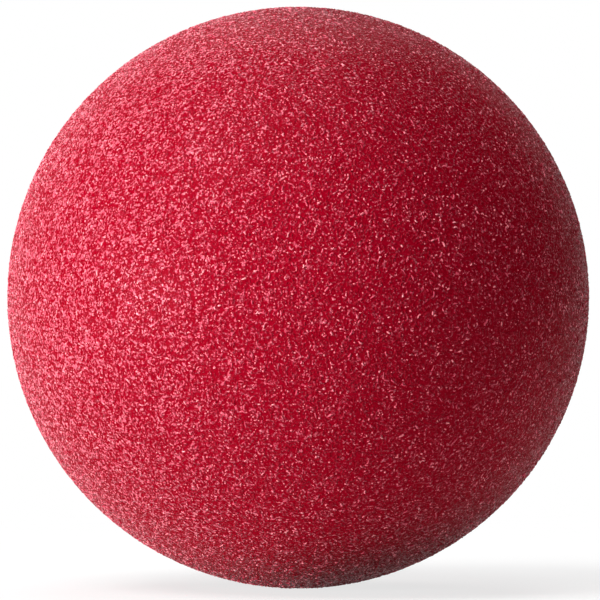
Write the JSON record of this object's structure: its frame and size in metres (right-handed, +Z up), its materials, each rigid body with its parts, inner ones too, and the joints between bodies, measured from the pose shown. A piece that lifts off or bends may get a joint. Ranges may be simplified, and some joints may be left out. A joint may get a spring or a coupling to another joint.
{
  "type": "table football ball",
  "caption": "Small solid red plastic ball for table football, with a ground, rough surface for grip.",
  "frame": {"origin": "centre of the ball", "axes": "+Z up, away from the surface that the ball stands on; +Y away from the picture's camera"},
  "size_m": [0.035, 0.035, 0.035],
  "materials": {
    "ground_plastic": "deep crimson cast plastic, ground all over, with fine pale curled scuffs and low relief"
  },
  "bodies": {
    "root": {"ball": "ground_plastic"}
  },
  "joints": []
}
